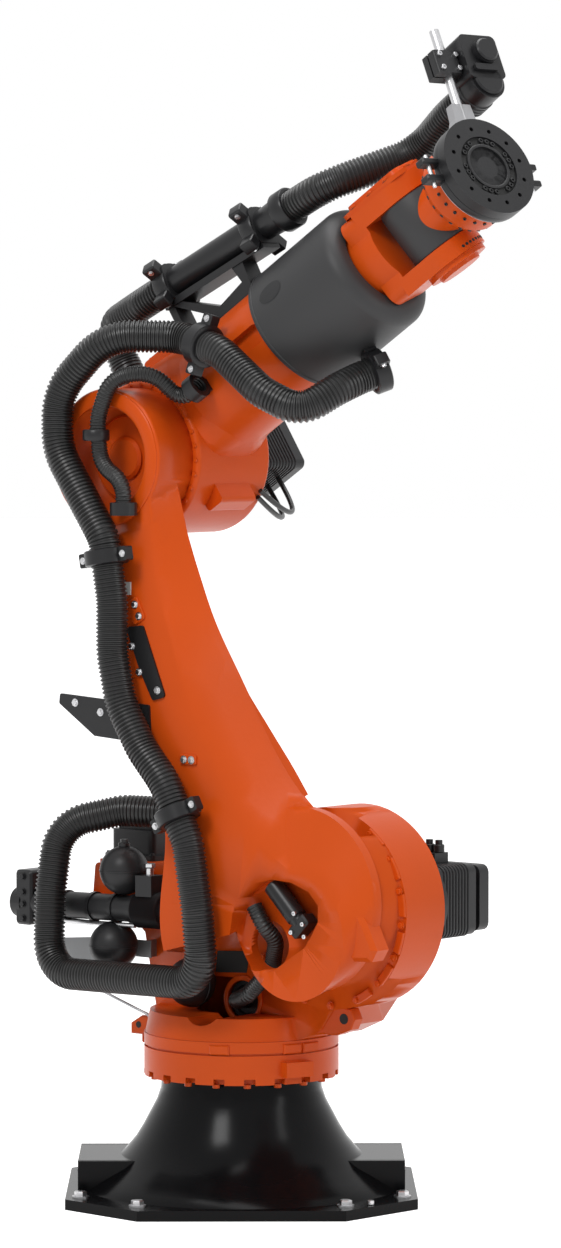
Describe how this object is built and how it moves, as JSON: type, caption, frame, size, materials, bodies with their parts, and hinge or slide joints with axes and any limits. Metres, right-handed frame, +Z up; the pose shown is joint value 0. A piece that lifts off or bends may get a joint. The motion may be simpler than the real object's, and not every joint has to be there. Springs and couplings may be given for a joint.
{
  "type": "six-axis industrial robot arm",
  "caption": "Orange heavy-payload industrial robot arm on a black chamfered foot, with a grey forearm cover, clipped corrugated hoses and a hose carrier at the tool flange.",
  "frame": {"origin": "Centre of the foot's underside, on the axis of joint 1", "axes": "+Z up along joint 1; the foot is square to X and Y, the camera looks along +Y; the arm reaches 40 degrees from +X towards -Y"},
  "size_m": [1.3809, 1.2354, 3.088],
  "materials": {
    "black_paint": "gloss",
    "orange_paint": "satin",
    "black_metal": "matt",
    "grey_cover": "matt",
    "black_plastic": "satin",
    "hose_plastic": "corrugated",
    "steel": "brushed"
  },
  "bodies": {
    "base": {"base_frame": "black_paint"},
    "column": {"turntable_ring": "orange_paint", "rotating_column": "orange_paint", "motor_1": "black_metal", "motor_2": "black_metal", "balancer_cradle": "orange_paint", "balancer_barrel": "black_metal", "balancer_rod": "steel", "accumulator_upper": "black_metal", "accumulator_lower": "black_metal", "accumulator_side": "black_metal", "clamp_post": "black_plastic", "hose_shoulder": "hose_plastic", "hose_column": "hose_plastic"},
    "link": {"link_arm": "orange_paint", "clamp_upper": "black_plastic", "clamp_lower": "black_plastic", "clamp_rim": "black_plastic", "hose_link": "hose_plastic", "hook_plate": "black_metal", "fold_plate": "black_metal"},
    "arm": {"forearm": "orange_paint", "forearm_cover": "grey_cover", "motor_3": "black_metal", "wrist_motors": "black_metal", "conduit": "black_plastic", "conduit_frame": "black_metal", "clamp_elbow": "black_plastic", "clamp_under": "black_plastic", "clamp_thin": "black_plastic", "hose_forearm": "hose_plastic", "hose_rear": "hose_plastic", "hose_front": "hose_plastic", "hose_elbow": "hose_plastic", "hose_thin": "hose_plastic"},
    "wrist": {"wrist_fork": "orange_paint", "wrist_cover": "orange_paint", "wrist_cap": "orange_paint"},
    "hand": {"hand": "orange_paint"},
    "tool": {"tool_flange": "black_metal", "hose_carrier": "steel", "carrier_rod": "steel", "rod_grip": "black_metal", "hose_end_unit": "black_plastic"}
  },
  "joints": [
    {"name": "joint_1", "type": "hinge", "parent": "base", "child": "column", "pos_m": [0, 0, 0.3], "axis": [0, 0, 1], "range_deg": [-185, 185]},
    {"name": "joint_2", "type": "hinge", "parent": "column", "child": "link", "pos_m": [0.30642, -0.25711, 0.835], "axis": [0.6428, 0.766, 0], "range_deg": [-11, 138], "deforming": ["hose_shoulder", "hose_column"]},
    {"name": "joint_3", "type": "hinge", "parent": "link", "child": "arm", "pos_m": [-0.17334, 0.14545, 1.9742], "axis": [-0.6428, -0.766, 0], "range_deg": [-58, 186], "deforming": ["hose_elbow", "hose_thin"]},
    {"name": "joint_4", "type": "hinge", "parent": "arm", "child": "wrist", "pos_m": [0.31832, -0.2671, 2.45492], "axis": [0.6432, -0.5397, 0.5432], "range_deg": [-350, 350], "deforming": ["hose_front"]},
    {"name": "joint_5", "type": "hinge", "parent": "wrist", "child": "hand", "pos_m": [0.47912, -0.40203, 2.59071], "axis": [-0.5901, 0.1026, 0.8008], "range_deg": [-87.7, 112.3]},
    {"name": "joint_6", "type": "hinge", "parent": "hand", "child": "tool", "pos_m": [0.61024, -0.57836, 2.70994], "axis": [0.5245, -0.7053, 0.4769], "range_deg": [-350, 350]}
  ]
}
